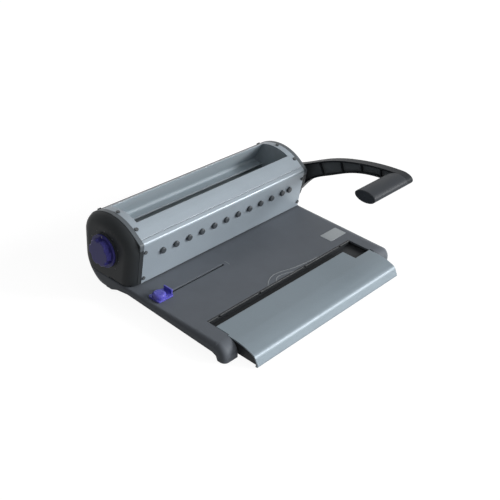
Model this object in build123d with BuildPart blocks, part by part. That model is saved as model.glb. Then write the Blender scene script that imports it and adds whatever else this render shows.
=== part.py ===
"""Manual punch and wire closing machine, 3:1 hole pitch.

Millimetres. +X runs along the punch line to the lever side, -Y is the operator's side and +Z is up.
The origin is on the table, under the middle of the machine.
"""
import os
from math import asin, atan2, cos, degrees, radians, sin, sqrt

from build123d import *

# ---------------------------------------------------------------- overall sizes
DEPTH = 321.0               # front of the closer lip to the back of the hood
HOOD_LENGTH = 340.0         # the silver panels, between the end caps
CAP_LEFT = 21.0             # thickness of the cap that carries the size knob
CAP_RIGHT = 13.0            # thickness of the cap at the lever side
DECK_Z = 24.0               # the sheet table, above the surface the machine stands on
PAPER_GAP = 2.5             # the punching throat
WALL = 2.5                  # casing panels
SHELL = 3.0                 # moulded base
CLEAR = 0.3                 # general gap between pieces that move apart
FIT = 0.05                  # radial running clearance of shafts and pins

FRONT_Y = -DEPTH / 2
REAR_Y = DEPTH / 2
PANEL_X = HOOD_LENGTH / 2
LEFT_X = -PANEL_X - CAP_LEFT
RIGHT_X = PANEL_X + CAP_RIGHT

# ---------------------------------------------------------------- hood section
SHAFT_Z = 46.0              # lever shaft, the centre of the drum
DRUM_RADIUS = 52.5          # rear of the hood and of the base
TOP_RADIUS = 72.5           # arched top, about the same centre
SHOULDER_Z = 80.0           # height where the back stops being upright
PANEL_HEIGHT = 68.7         # front panel, above the deck
PANEL_LEAN = 8.3            # how far its top comes forward
BROW_RADIUS = 5.0           # bright rounded edge at its top
BROW_LAND = 6.0             # how far the front panel reaches over the brow
CHEEK_RECESS = 5.0          # how far the lever side's cap stands back below its cheek
CHEEK_Z = (50.0, 62.0)      # heights where that step begins and ends
CAP_BROW_RADIUS = 30.0
CAP_ROUNDING = (18.0, 11.8) # perimeter of the left and of the right end
THROAT_Y = 57.5             # face of the front panel at the throat
SPLIT = 0.8                 # parting lines of the casing

SHAFT_Y = REAR_Y - DRUM_RADIUS
SHAFT = (SHAFT_Y, SHAFT_Z)
BROW = (THROAT_Y - PANEL_LEAN, DECK_Z + PANEL_HEIGHT)
PANEL_FOOT_Z = DECK_Z + PAPER_GAP
PANEL_TILT = degrees(atan2(PANEL_LEAN, PANEL_HEIGHT))
SHOULDER_RISE = SHOULDER_Z - SHAFT_Z
SHOULDER_RADIUS = ((TOP_RADIUS ** 2 - DRUM_RADIUS ** 2 - SHOULDER_RISE ** 2)
                   / (2 * (TOP_RADIUS - DRUM_RADIUS)))

# ---------------------------------------------------------------- base
FRONT_ROLL = 18.0           # rounded front edge of the deck
NOSE_Y = -126.0             # front of the base's corner feet
CORNER_RADIUS = (8.0, 17.0) # left and right front corner
# Rounding of the deck's left and right edge at three stations along Y.
DECK_ROUNDING = ((REAR_Y + 2, 2.0, 2.0), (100.0, 2.0, 2.0), (THROAT_Y, 3.0, 13.0),
                 (NOSE_Y - 2, 7.5, 21.0))
SKIRT_Z = 0.5               # lower edge of the skirt at the feet
PAN_Z = 5.0                 # underside of the bottom pan
PAN_THICKNESS = 1.5
FOOT_DIAMETER = 14.0
MECHANISM_X = 168.0         # half length of the opening in the base under the hood
MECHANISM_Y = (60.0, 148.0)

# ---------------------------------------------------------------- closer
RECESS_X = (-163.5, 146.5)
RECESS_Y = -68.5
JAW_WIDTH = 3.0
BED_FLOOR_Z = 17.0
BED_THICKNESS = 2.0
TONGUE_X = (-162.7, 111.5)
TONGUE_Y = -82.2
PLATE_X = (-165.5, 147.0)
PLATE_Y = -106.0            # rear edge of the wide part
SHEET = 2.0
CLOSER_TRAVEL = 10.0
NOTCH_X = (-142.7, -61.7, 37.2, 121.1)
BAY_X = (-166.5, 149.5)
BAY_Y = -105.5

# ---------------------------------------------------------------- punch unit
PITCH = 25.4 / 3
DIE_COUNT = 34
FIRST_DIE_X = -143.1
PUNCH_SIDE = 4.0            # square punches
PUNCH_LINE_Y = 68.0
BAR_HALF_X = 158.0
UNIT_Y = (60.5, 75.5)
DIE_THICKNESS = 10.0
GUIDE_THICKNESS = 12.0
PUNCH_TRAVEL = 8.0
PUNCH_REACH = 3.5           # how far the punches enter the die with the lever down
BAR_Z = (44.0, 62.0)        # punch bar with the lever down
LEVER_SWING = 70.0

# ---------------------------------------------------------------- pull pins
PULL_PIN_COUNT = 12
PULL_PIN_RISE = 45.6        # up the front panel, from the deck
PULL_PIN_HEAD = 9.6
PULL_PIN_STEM = 5.0
PULL_PIN_TRAVEL = 4.5
PULL_PIN_COLLAR = 8.0
HEAD_PROUD = 3.5

# ---------------------------------------------------------------- shaft and frames
SHAFT_DIAMETER = 14.0
FRAME_X = 162.0             # inner face of a side frame
FRAME_THICKNESS = 4.0
PRESS_CAM_X = 155.0
PRESS_CAM = (16.0, 24.0)    # base and lift radius
CAM_THICKNESS = 7.0
CLOSING_CAM_X = 174.0
CLOSING_CAM = (20.0, 30.0)
ROD_THICKNESS = 4.0
ROD_Z = (9.0, 13.0)

# ---------------------------------------------------------------- top tray
TRAY_X = 159.0
TRAY_MOUTH_Y = (77.5, 132.0)
TRAY_FLOOR_Z = 78.0
COVER_END_Y = 138.0
TRIM_WIDTH = 7.0
TRAY_SHEET = 1.5

# ---------------------------------------------------------------- chip tray
CHIP_X = (-130.0, 130.0)
CHIP_TOP_Z = 20.0

# ---------------------------------------------------------------- knob, guide, lever
KNOB_Z = 67.0
KNOB_DIAMETER = 40.0
KNOB_SKIRT = 49.0
KNOB_FLANGE = 53.0
KNOB_PROUD = 13.0
SLOT_Y = 16.5
SLOT_X = (-182.0, -46.7)
SLOT_WIDTH = 4.0
ARM_X = (188.0, 204.0)
HUB_RADIUS = 36.0
GRIP_X = 105.5
GRIP_SECTION = (36.0, 18.5)
GRIP_CENTRE = (-111.0, 132.3)

PAN_TOP = PAN_Z + PAN_THICKNESS
TOP_Z = SHAFT_Z + TOP_RADIUS


# ---------------------------------------------------------------- shared sections
def polar(centre, radius, angle):
    """Point at an angle, in degrees, on a circle."""
    return (centre[0] + radius * cos(radians(angle)), centre[1] + radius * sin(radians(angle)))


def panel_y(z):
    """Depth of the front panel's face at a height."""
    return THROAT_Y - PANEL_LEAN * (z - DECK_Z) / PANEL_HEIGHT


def hood_section(brow_radius=BROW_RADIUS, inset=0.0, bottom=PANEL_FOOT_Z, recess=0.0):
    """Outline of the hood in the YZ plane, closed along its bottom."""
    shoulder = (REAR_Y - SHOULDER_RADIUS, SHOULDER_Z)
    top_end = polar(SHAFT, TOP_RADIUS, degrees(atan2(SHOULDER_RISE, shoulder[0] - SHAFT_Y)))
    reach = sqrt((BROW[0] - SHAFT_Y) ** 2 + (BROW[1] - SHAFT_Z) ** 2)
    brow_angle = degrees(atan2(BROW[1] - SHAFT_Z, BROW[0] - SHAFT_Y))
    tangent_angle = brow_angle - degrees(atan2(sqrt(reach ** 2 - TOP_RADIUS ** 2), TOP_RADIUS))
    top_start = polar(SHAFT, TOP_RADIUS, tangent_angle)
    rear_angle = degrees(asin((bottom - SHAFT_Z) / DRUM_RADIUS))
    rear_end = polar(SHAFT, DRUM_RADIUS, rear_angle)
    foot = panel_y(bottom) + recess
    step = [(panel_y(CHEEK_Z[0]) + recess, CHEEK_Z[0]), (panel_y(CHEEK_Z[1]), CHEEK_Z[1])]
    with BuildSketch() as section:
        with BuildLine():
            Polyline((foot, bottom), *(step if recess else []), BROW, top_start)
            ThreePointArc(top_start, polar(SHAFT, TOP_RADIUS, 90), top_end)
            ThreePointArc(top_end, polar(shoulder, SHOULDER_RADIUS, 30), (REAR_Y, SHOULDER_Z))
            Line((REAR_Y, SHOULDER_Z), (REAR_Y, SHAFT_Z))
            ThreePointArc((REAR_Y, SHAFT_Z), polar(SHAFT, DRUM_RADIUS, rear_angle / 2), rear_end)
            Line(rear_end, (foot, bottom))
        make_face()
        fillet(section.vertices().sort_by_distance(BROW)[0], brow_radius)
        if recess:
            for corner in step:
                fillet(section.vertices().sort_by_distance(corner)[0], 2.4 * recess)
        if inset:
            offset(amount=-inset, kind=Kind.INTERSECTION)
    return section.sketch


def hood_skin(x_range, brow_radius=BROW_RADIUS):
    """A strip of casing one wall thick along the hood's outline."""
    with BuildPart() as skin:
        with BuildSketch(Plane.YZ.offset(x_range[0])):
            add(hood_section(brow_radius))
            add(hood_section(brow_radius, WALL, PANEL_FOOT_Z - 2 * WALL), mode=Mode.SUBTRACT)
        extrude(amount=x_range[1] - x_range[0])
    return skin.part


def deck_edges(inset=0.0):
    """Form whose side edges grow rounder from under the hood to the front of the deck."""
    start = LEFT_X + inset
    end = RIGHT_X - inset
    top = DECK_Z - inset
    with BuildPart() as form:
        for stations in zip(DECK_ROUNDING, DECK_ROUNDING[1:]):
            for y, *rounding in stations:
                left, right = [max(radius - inset, 0.5) for radius in rounding]
                with BuildSketch(Plane.XZ.offset(-y)):
                    with BuildLine():
                        Line((start, -10), (start, top - left))
                        ThreePointArc((start, top - left),
                                      polar((start + left, top - left), left, 135),
                                      (start + left, top))
                        Line((start + left, top), (end - right, top))
                        ThreePointArc((end - right, top),
                                      polar((end - right, top - right), right, 45),
                                      (end, top - right))
                        Polyline((end, top - right), (end, -10), (start, -10))
                    make_face()
            loft(ruled=True)
    return form.part


def drum_end(inset=0.0):
    """Drum form with rounded ends, the rear of the base."""
    length = RIGHT_X - LEFT_X - 2 * inset
    with BuildPart() as drum:
        with BuildSketch(Plane.YZ.offset(LEFT_X + inset)):
            with Locations(SHAFT):
                Circle(DRUM_RADIUS - inset)
        extrude(amount=length)
        fillet(drum.faces().sort_by(Axis.X)[0].edges(), CAP_ROUNDING[0] - inset)
        fillet(drum.faces().sort_by(Axis.X)[-1].edges(), CAP_ROUNDING[1] - inset)
    return drum.part


def base_form(inset=0.0):
    """Outer form of the base; with an inset, the hollow inside it."""
    top = DECK_Z - inset
    low = SKIRT_Z - inset / 2
    roll = FRONT_ROLL - inset
    nose = NOSE_Y + inset
    length = RIGHT_X - LEFT_X - 2 * inset
    with BuildPart() as form:
        with BuildSketch(Plane.YZ.offset(LEFT_X + inset)):
            with BuildLine():
                Polyline((nose + roll, top), (nose + roll, low), (nose, low), (nose, top - roll))
                ThreePointArc((nose, top - roll), polar((nose + roll, top - roll), roll, 135),
                              (nose + roll, top))
            make_face()
        extrude(amount=length)
        for end, radius in zip((0, -1), CORNER_RADIUS):
            front = form.edges().filter_by(Axis.Z).group_by(Axis.Y)[0]
            fillet(front.sort_by(Axis.X)[end], radius - inset)
        put((LEFT_X + inset, RIGHT_X - inset), (nose + roll, REAR_Y), (low, top))
        add(deck_edges(inset), mode=Mode.INTERSECT)
        with BuildPart(mode=Mode.PRIVATE) as behind:
            put((LEFT_X - 1, RIGHT_X + 1), (SHAFT_Y, REAR_Y + 1), (-20, DECK_Z + 1))
            add(drum_end(inset), mode=Mode.SUBTRACT)
        add(behind.part, mode=Mode.SUBTRACT)
    return form.part


def block(x_range, y_range, z_range):
    """Plain box between two corners, kept out of the piece that is being built."""
    ranges = (x_range, y_range, z_range)
    middle = [(a + b) / 2 for a, b in ranges]
    return Pos(*middle) * Box(*[b - a for a, b in ranges], mode=Mode.PRIVATE)


def put(*ranges):
    """Add a plain box to the piece that is being built."""
    add(block(*ranges))


def cut(*ranges):
    """Cut a plain box from the piece that is being built."""
    add(block(*ranges), mode=Mode.SUBTRACT)


def mirrored(x_range):
    """The same stretch on the other side of the middle plane."""
    return (-x_range[1], -x_range[0])


def snail(base_radius, lift_radius, start, direction):
    """Cam outline about its shaft: highest at start, falling evenly over the lever's swing."""
    steps = 5
    dwell = 8.0
    fall = [polar(SHAFT, lift_radius - (lift_radius - base_radius) * i / steps,
                  start + direction * LEVER_SWING * i / steps) for i in range(steps + 1)]
    rise = start - direction * 4 * dwell
    middle = start + direction * (LEVER_SWING + (360 - LEVER_SWING - 4 * dwell) / 2)
    with BuildSketch() as outline:
        with BuildLine():
            Spline(fall)
            ThreePointArc(fall[-1], polar(SHAFT, base_radius, middle), polar(SHAFT, base_radius, rise))
            Line(polar(SHAFT, base_radius, rise), polar(SHAFT, lift_radius, start - direction * dwell))
            ThreePointArc(polar(SHAFT, lift_radius, start - direction * dwell),
                          polar(SHAFT, lift_radius, start - direction * dwell / 2), fall[0])
        make_face()
        with Locations(SHAFT):
            Circle(SHAFT_DIAMETER / 2, mode=Mode.SUBTRACT)
    return outline.sketch


def bent_sheet(points, radius, thickness):
    """Section of a bent sheet along its middle line."""
    with BuildSketch() as section:
        with BuildLine():
            FilletPolyline(*points, radius=radius)
        trace(line_width=thickness)
    return section.sketch


def finish(piece, name):
    """Label a piece and write it."""
    piece.part.label = name
    export_step(piece.part, f"parts/{name}.step")


os.makedirs("parts", exist_ok=True)

# ================================================================ base
# Moulded base: sheet table, rolled front edge, skirt and the lower rear of the drum.
CORNER_WALLS = ((BAY_X[0] - SHELL, BAY_X[0]), (BAY_X[1], BAY_X[1] + SHELL))
BOSS_X = (-178.0, 170.0)
BOSS_Y = (-112.0, 40.0)
SKIRT_CUT = [(REAR_Y + 1, -1), (REAR_Y + 1, 6.5), (97, 6.5), (85, 11.5), (62, 15), (-103, 9.5),
             (-110, 7), (-114, -1)]
with BuildPart() as base_hollow:
    add(base_form(SHELL))
    for wall in CORNER_WALLS:
        cut(wall, (NOSE_Y - 1, BAY_Y + SHELL), (0, DECK_Z))
with BuildPart() as base_shell:
    add(base_form())
    add(base_hollow.part, mode=Mode.SUBTRACT)
    # lower edge of the skirt, raised between the front feet and the rear
    with BuildSketch(Plane.YZ.offset(LEFT_X - 1)):
        with BuildLine():
            Polyline(*SKIRT_CUT, close=True)
        make_face()
    extrude(amount=RIGHT_X - LEFT_X + 2, mode=Mode.SUBTRACT)
    # bay of the closer between the two front corners, and the recess of its jaws
    cut(BAY_X, (NOSE_Y - 1, BAY_Y), (0, DECK_Z + 1))
    cut(RECESS_X, (BAY_Y - 1, RECESS_Y + JAW_WIDTH), (DECK_Z - SHELL - 1, DECK_Z + 1))
    # opening for the mechanism, and slots for the closing cams and their followers
    cut((-MECHANISM_X, MECHANISM_X), MECHANISM_Y, (DECK_Z - SHELL - 1, DECK_Z + 1))
    for side in (-1, 1):
        rod_x = side * CLOSING_CAM_X
        cut((rod_x - ROD_THICKNESS, rod_x + ROD_THICKNESS),
            (SHAFT_Y - 3, SHAFT_Y + CLOSING_CAM[1] + 7),
            (DECK_Z - SHELL - 1, DECK_Z + 1))
    # slot of the edge guide
    with BuildSketch(Plane.XY.offset(DECK_Z - SHELL)):
        with Locations(((SLOT_X[0] + SLOT_X[1]) / 2, SLOT_Y)):
            SlotOverall(SLOT_X[1] - SLOT_X[0], SLOT_WIDTH)
    extrude(amount=SHELL, mode=Mode.SUBTRACT)
    # way out of the chip tray, below the rear edge
    cut(CHIP_X, (SHAFT_Y, REAR_Y), (0, CHIP_TOP_Z + CLEAR))
    # bosses for the front feet and for the screws of the bottom pan
    with BuildSketch(Plane.XY.offset(PAN_TOP)):
        with Locations(*[(x, BOSS_Y[0]) for x in BOSS_X], *[(x, BOSS_Y[1]) for x in (-140, 140)],
                       (-140, -50), (140, -50)):
            Circle(5)
    extrude(until=Until.NEXT)
finish(base_shell, "base_shell")

# Steel pan that closes the base from below, with its screws and the rubber feet.
PAN_X = (LEFT_X + SHELL + 12, RIGHT_X - SHELL - 10)
PAN_Y = (-92.0, 130.0)
PAN_SCREWS = [(x, y) for x in (-140, 140) for y in (-50, BOSS_Y[1])]
with BuildPart() as bottom_pan:
    put(PAN_X, PAN_Y, (PAN_Z, PAN_TOP))
    with Locations(*[(x, y, PAN_TOP) for x, y in PAN_SCREWS]):
        Hole(2.0, depth=PAN_THICKNESS)
    fillet(bottom_pan.edges().filter_by(Axis.Z).group_by(Axis.Y)[0], 6)
    fillet(bottom_pan.edges().filter_by(Axis.Z).group_by(Axis.Y)[-1], 6)
finish(bottom_pan, "bottom_pan")

with BuildPart() as pan_screws:
    with BuildSketch(Plane.XY.offset(PAN_Z - 2)):
        with Locations(*PAN_SCREWS):
            Circle(4)
    extrude(amount=2)
    chamfer(pan_screws.edges().group_by(Axis.Z)[0], 0.8)
    with BuildSketch(Plane.XY.offset(PAN_Z)):
        with Locations(*PAN_SCREWS):
            Circle(2.0)
    extrude(amount=PAN_THICKNESS)
finish(pan_screws, "pan_screws")

REAR_FEET = [(x, 112.0) for x in (-150, 150)]
with BuildPart() as rubber_feet:
    with BuildSketch():
        with Locations(*[(x, BOSS_Y[0]) for x in BOSS_X]):
            Circle(FOOT_DIAMETER / 2)
    extrude(amount=PAN_TOP)
    with BuildSketch():
        with Locations(*REAR_FEET):
            Circle(FOOT_DIAMETER / 2)
    extrude(amount=PAN_Z)
    chamfer(rubber_feet.edges().group_by(Axis.Z)[0], 1.0)
finish(rubber_feet, "rubber_feet")

# ================================================================ hood casing
BROW_CUT = BROW[0] + BROW_LAND


def end_cap_form(side, inset=0.0):
    """Rounded form of an end cap; with an inset, its hollow, which is open below."""
    thickness = (CAP_LEFT if side < 0 else CAP_RIGHT) - inset
    with BuildPart() as form:
        with BuildSketch(Plane.YZ.offset(side * PANEL_X)):
            add(hood_section(CAP_BROW_RADIUS, inset, PANEL_FOOT_Z - 2 * inset,
                             CHEEK_RECESS if side > 0 else 0))
        extrude(amount=side * thickness)
        outer = form.faces().sort_by(Axis.X)[0 if side < 0 else -1]
        rounding = CAP_ROUNDING[0 if side < 0 else 1] - inset
        if inset:
            chamfer(outer.edges().sort_by(Axis.Z)[1:], 0.68 * rounding)
        else:
            fillet(outer.edges().sort_by(Axis.Z)[1:], rounding)
    return form.part


def make_end_cap(side, name, bore_centre, bore_radius):
    """Moulded end cap with its seat on the base and one bore through its face."""
    face_x = LEFT_X if side < 0 else RIGHT_X
    inner_x = side * PANEL_X
    trim_x = sorted((inner_x, inner_x + side * TRIM_WIDTH))
    seat_x = sorted((face_x - side * 0.6, face_x - side * WALL))
    with BuildPart() as end_cap:
        add(end_cap_form(side))
        add(end_cap_form(side, WALL), mode=Mode.SUBTRACT)
        add(hood_skin(trim_x), mode=Mode.SUBTRACT)
        add(cheek(trim_x, 0 if side < 0 else CHEEK_Z[1] + 3))
        if side > 0:
            # web behind the end of the front panel, where the cap stands back
            with BuildSketch(Plane.YZ.offset(inner_x)):
                with BuildLine():
                    Polyline(*[(panel_y(z) + depth, z) for depth, z in
                               ((WALL, PANEL_FOOT_Z), (WALL, CHEEK_Z[1] + 4),
                                (WALL + CHEEK_RECESS, CHEEK_Z[1] + 4),
                                (WALL + CHEEK_RECESS, PANEL_FOOT_Z))], close=True)
                make_face()
            extrude(amount=WALL)
        put(seat_x, (102, 138), (DECK_Z, PANEL_FOOT_Z + 1))
        with BuildSketch(Plane.YZ.offset(face_x)):
            with Locations(bore_centre):
                Circle(bore_radius)
        extrude(amount=-side * WALL * 2, mode=Mode.SUBTRACT)
    finish(end_cap, name)


def cheek(x_range, low):
    """Part of the casing strip on the front, below the trim ring."""
    with BuildPart() as strip:
        add(hood_skin(x_range))
        add(block((x_range[0] - 1, x_range[1] + 1), (0, 80), (low, BROW[1] - 9)),
            mode=Mode.INTERSECT)
    return strip.part


make_end_cap(-1, "end_cap_left", (SHAFT_Y, KNOB_Z), 5 + FIT)
make_end_cap(1, "end_cap_right", SHAFT, SHAFT_DIAMETER / 2 + 1)

for side, name in ((-1, "trim_ring_left"), (1, "trim_ring_right")):
    trim_x = sorted((side * PANEL_X, side * (PANEL_X + TRIM_WIDTH)))
    with BuildPart() as trim_ring:
        add(hood_skin(trim_x))
        cut((-200, 200), (0, 80), (0, BROW[1] - 9))
    finish(trim_ring, name)

PULL_PIN_X = [FIRST_DIE_X + PITCH * (1 + 3 * i) for i in range(PULL_PIN_COUNT - 1)]
PULL_PIN_X.append(FIRST_DIE_X + PITCH * (DIE_COUNT - 1))
PANEL_PLANE = Plane(origin=(0, THROAT_Y, DECK_Z), x_dir=(1, 0, 0),
                    z_dir=(0, -cos(radians(PANEL_TILT)), -sin(radians(PANEL_TILT))))
PULL_PIN_UP = PULL_PIN_RISE / cos(radians(PANEL_TILT))
with BuildPart() as front_panel:
    add(hood_skin((-PANEL_X, PANEL_X)))
    cut((-200, 200), (BROW_CUT, REAR_Y + 1), (DECK_Z + 40, TOP_Z + 1))
    cut((-200, 200), (SHAFT_Y, REAR_Y + 1), (0, DECK_Z + 41))
    with BuildSketch(PANEL_PLANE.offset(1)):
        with Locations(*[(x, PULL_PIN_UP) for x in PULL_PIN_X]):
            Circle(PULL_PIN_STEM / 2 + FIT)
    extrude(amount=-WALL - 3, mode=Mode.SUBTRACT)
finish(front_panel, "front_panel")

with BuildPart() as top_cover:
    add(hood_skin((-PANEL_X, PANEL_X)))
    add(block((-200, 200), (BROW_CUT + SPLIT, COVER_END_Y), (DECK_Z + 50, TOP_Z + 1)),
        mode=Mode.INTERSECT)
    cut((-TRAY_X, TRAY_X), TRAY_MOUTH_Y, (DECK_Z + 50, TOP_Z + 1))
finish(top_cover, "top_cover")

with BuildPart() as rear_casing:
    add(hood_skin((-PANEL_X, PANEL_X)))
    add(block((-200, 200), (COVER_END_Y + SPLIT, REAR_Y), (PANEL_FOOT_Z, TOP_Z)),
        mode=Mode.INTERSECT)
    rim_y = SHAFT_Y + sqrt(DRUM_RADIUS ** 2 - (SHAFT_Z - PANEL_FOOT_Z) ** 2)
    put((-PANEL_X, PANEL_X), (rim_y - WALL - 1.5, rim_y - 1.5), (DECK_Z, PANEL_FOOT_Z + 2))
finish(rear_casing, "rear_casing")

# Dome-headed screws along both ends of the silver panels.
SHOULDER = (REAR_Y - SHOULDER_RADIUS, SHOULDER_Z)
SCREW_SEATS = [((panel_y(DECK_Z + 11), DECK_Z + 11), 180 + PANEL_TILT),
               ((panel_y(DECK_Z + 55), DECK_Z + 55), 180 + PANEL_TILT),
               (polar(SHAFT, TOP_RADIUS, 122.5), 122.5),
               (polar(SHAFT, TOP_RADIUS, 91), 91),
               (polar(SHOULDER, SHOULDER_RADIUS, 52), 52)]
with BuildPart() as panel_screws:
    for side in (-1, 1):
        for (y, z), angle in SCREW_SEATS:
            outward = (0, cos(radians(angle)), sin(radians(angle)))
            with BuildSketch(Plane(origin=(side * (PANEL_X - 3.2), y, z), x_dir=(1, 0, 0),
                                   z_dir=outward)):
                Circle(2.8)
            extrude(amount=1.5)
finish(panel_screws, "panel_screws")

# ================================================================ top tray
with BuildPart() as wire_tray:
    with BuildSketch(Plane.YZ.offset(-TRAY_X)):
        add(bent_sheet([(132.5, 114), (151, TRAY_FLOOR_Z + 0.75), (131, TRAY_FLOOR_Z + 0.75)],
                       5, TRAY_SHEET))
        with Locations((130.5, TRAY_FLOOR_Z + 1.5)):
            Circle(1.5)
        add(hood_section(BROW_RADIUS, WALL), mode=Mode.INTERSECT)
    extrude(amount=2 * TRAY_X)
finish(wire_tray, "wire_tray")

with BuildPart() as inner_shield:
    with BuildSketch(Plane.YZ.offset(-TRAY_X)):
        add(bent_sheet([(76.5, 114), (80, 73), (149, 73), (149, TRAY_FLOOR_Z)], 3, TRAY_SHEET))
        add(hood_section(BROW_RADIUS, WALL), mode=Mode.INTERSECT)
    extrude(amount=2 * TRAY_X)
finish(inner_shield, "inner_shield")

TROUGH_END_X = (TRAY_X, TRAY_X + 2)
with BuildPart() as trough_ends:
    for ends in (TROUGH_END_X, mirrored(TROUGH_END_X)):
        with BuildSketch(Plane.YZ.offset(ends[0])):
            with Locations((114, 100)):
                Rectangle(74, 56)
            add(hood_section(BROW_RADIUS, WALL), mode=Mode.INTERSECT)
        extrude(amount=ends[1] - ends[0])
finish(trough_ends, "trough_ends")

# ================================================================ frames
FRAME_OUTLINE = [(62, PAN_TOP), (62, 58), (88, 71), (128, 71), (146, 52), (146, 20), (132, PAN_TOP)]
for frame_x, name in (((FRAME_X, FRAME_X + FRAME_THICKNESS), "side_frame_right"),
                      (mirrored((FRAME_X, FRAME_X + FRAME_THICKNESS)), "side_frame_left")):
    with BuildPart() as side_frame:
        with BuildSketch(Plane.YZ.offset(frame_x[0])):
            with BuildLine():
                Polyline(*FRAME_OUTLINE, close=True)
            make_face()
            with Locations(SHAFT):
                Circle(10, mode=Mode.SUBTRACT)
        extrude(amount=FRAME_THICKNESS)
    finish(side_frame, name)

with BuildPart() as shaft_bushes:
    for bush_x in ((FRAME_X, FRAME_X + FRAME_THICKNESS + 1),
                   mirrored((FRAME_X, FRAME_X + FRAME_THICKNESS + 1))):
        flange_x = (FRAME_X - 1.5, FRAME_X) if bush_x[0] > 0 else (-FRAME_X, 1.5 - FRAME_X)
        for radius, reach in ((10, bush_x), (12.5, flange_x)):
            with BuildSketch(Plane.YZ.offset(reach[0])):
                with Locations(SHAFT):
                    Circle(radius)
                    Circle(SHAFT_DIAMETER / 2 + FIT, mode=Mode.SUBTRACT)
            extrude(amount=reach[1] - reach[0])
finish(shaft_bushes, "shaft_bushes")

with BuildPart() as tie_bars:
    with BuildSketch(Plane.YZ.offset(-FRAME_X)):
        with Locations((141, 62), (141, 28)):
            Circle(4)
    extrude(amount=2 * FRAME_X)
finish(tie_bars, "tie_bars")

# ================================================================ punch unit
DIE_X = [FIRST_DIE_X + PITCH * i for i in range(DIE_COUNT)]
DIE_PLACES = [(x, PUNCH_LINE_Y) for x in DIE_X]
GUIDE_TOP_Z = PANEL_FOOT_Z + GUIDE_THICKNESS
with BuildPart() as die_block:
    put((-FRAME_X, FRAME_X), UNIT_Y, (DECK_Z - DIE_THICKNESS, DECK_Z))
    with BuildSketch(Plane.XY.offset(DECK_Z)):
        with Locations(*DIE_PLACES):
            Rectangle(PUNCH_SIDE + 2 * FIT, PUNCH_SIDE + 2 * FIT)
    extrude(amount=-DIE_THICKNESS, mode=Mode.SUBTRACT)
    chamfer(die_block.edges().group_by(Axis.Z)[-1].sort_by(Axis.Y)[0], 0.6)
finish(die_block, "die_block")

with BuildPart() as punch_guide:
    put((-FRAME_X, FRAME_X), UNIT_Y, (PANEL_FOOT_Z, GUIDE_TOP_Z))
    put((-FRAME_X, FRAME_X), (UNIT_Y[1] - 3, UNIT_Y[1]), (DECK_Z, PANEL_FOOT_Z))
    with BuildSketch(Plane.XY.offset(GUIDE_TOP_Z)):
        with Locations(*DIE_PLACES):
            Rectangle(PUNCH_SIDE + 2 * FIT, PUNCH_SIDE + 2 * FIT)
    extrude(amount=-GUIDE_THICKNESS, mode=Mode.SUBTRACT)
finish(punch_guide, "punch_guide")

BAR_Y = (62.0, 76.0)
with BuildPart() as punch_bar:
    put((-BAR_HALF_X, BAR_HALF_X), BAR_Y, BAR_Z)
    chamfer(punch_bar.edges().filter_by(Axis.X), 1.0)
finish(punch_bar, "punch_bar")

with BuildPart() as punch_pins:
    with BuildSketch(Plane.XY.offset(DECK_Z - PUNCH_REACH)):
        with Locations(*DIE_PLACES):
            Rectangle(PUNCH_SIDE, PUNCH_SIDE)
    extrude(amount=BAR_Z[0] - DECK_Z + PUNCH_REACH)
finish(punch_pins, "punch_pins")

# Plates behind the bar that carry the rollers pressed down by the cams.
ROLLER_RADIUS = 3.0
YOKE_ROLLER = (SHAFT_Y, SHAFT_Z - PRESS_CAM[1] - CLEAR - ROLLER_RADIUS)
YOKE_BACK = SHAFT_Y - PRESS_CAM[1] - 2 * CLEAR
YOKE_OUTLINE = [(BAR_Y[1], BAR_Z[0] + 1), (BAR_Y[1], BAR_Z[1] - 1), (YOKE_BACK, BAR_Z[1] - 1),
                (YOKE_BACK, YOKE_ROLLER[1]), (SHAFT_Y + 6, YOKE_ROLLER[1]),
                (SHAFT_Y + 6, YOKE_ROLLER[1] - 8), (BAR_Y[1] + 2, YOKE_ROLLER[1] - 8),
                (BAR_Y[1] + 2, BAR_Z[0] + 1)]
YOKE_X = (PRESS_CAM_X - CAM_THICKNESS / 2, PRESS_CAM_X + CAM_THICKNESS / 2 - 1)
with BuildPart() as punch_yokes:
    for yoke_x in (YOKE_X, mirrored(YOKE_X)):
        with BuildSketch(Plane.YZ.offset(yoke_x[0])):
            with BuildLine():
                Polyline(*YOKE_OUTLINE, close=True)
            make_face()
            with Locations(YOKE_ROLLER):
                Circle(ROLLER_RADIUS)
        extrude(amount=yoke_x[1] - yoke_x[0])
finish(punch_yokes, "punch_yokes")

# ================================================================ shaft and cams
SHAFT_LEFT = -CLOSING_CAM_X - CAM_THICKNESS / 2
with BuildPart() as lever_shaft:
    with BuildSketch(Plane.YZ.offset(SHAFT_LEFT)):
        with Locations(SHAFT):
            Circle(SHAFT_DIAMETER / 2)
    extrude(amount=RIGHT_X + 12 - SHAFT_LEFT)
    chamfer(lever_shaft.edges().filter_by(GeomType.CIRCLE), 0.8)
finish(lever_shaft, "lever_shaft")

for name, cam_x, (base, lift), start in (("press_cams", PRESS_CAM_X, PRESS_CAM, -90),
                                         ("closing_cams", CLOSING_CAM_X, CLOSING_CAM, 0)):
    with BuildPart() as cams:
        for side in (-1, 1):
            with BuildSketch(Plane.YZ.offset(side * cam_x - CAM_THICKNESS / 2)):
                add(snail(base, lift, start, 1))
            extrude(amount=CAM_THICKNESS)
    finish(cams, name)

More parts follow.
